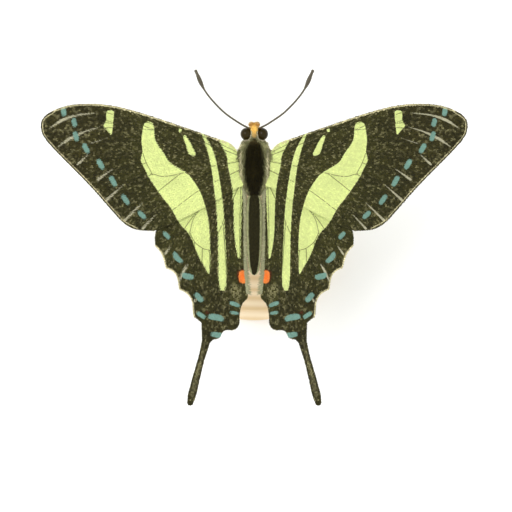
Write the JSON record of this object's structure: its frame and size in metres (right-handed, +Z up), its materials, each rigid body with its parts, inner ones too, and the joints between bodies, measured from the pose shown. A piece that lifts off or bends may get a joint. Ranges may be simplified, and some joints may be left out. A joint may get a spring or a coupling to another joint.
{
  "type": "swallowtail butterfly",
  "caption": "Life-size kite swallowtail butterfly model with spread, tailed, pale-banded dark wings, held over a round wooden display base by a slim metal rod.",
  "frame": {"origin": "centre of the stand base's flat underside, which rests on the surface", "axes": "+Z up, out of the butterfly's back; +Y towards its head; +X its right side, along the wingspan"},
  "size_m": [0.0808, 0.0642, 0.0366],
  "materials": {
    "wing_scales": "matt dark olive-brown scales with pale green bands, blue-green marks and one orange-red spot",
    "body_coat": "matt hair, near-black along the back and grey-green on the sides",
    "abdomen_scales": "matt dark scales with pale stripes along the sides",
    "eye_surface": "glossy dark brown compound eye",
    "cuticle": "satin horny brown legs, antennae and tongue",
    "stand_wood": "satin pale maple",
    "rod_steel": "satin steel",
    "collar_brass": "polished brass"
  },
  "bodies": {
    "root": {"head": "body_coat", "neck": "body_coat", "thorax": "body_coat", "abdomen": "abdomen_scales", "eye_left": "eye_surface", "eye_right": "eye_surface", "palp_left": "body_coat", "palp_right": "body_coat", "proboscis": "cuticle", "antenna_left": "cuticle", "antenna_right": "cuticle", "foreleg_left": "cuticle", "foreleg_right": "cuticle", "midleg_left": "cuticle", "midleg_right": "cuticle", "hindleg_left": "cuticle", "hindleg_right": "cuticle", "forewing_left": "wing_scales", "forewing_right": "wing_scales", "hindwing_left": "wing_scales", "hindwing_right": "wing_scales", "stand_base": "stand_wood", "stand_rod": "rod_steel", "stand_collar": "collar_brass"}
  },
  "joints": []
}
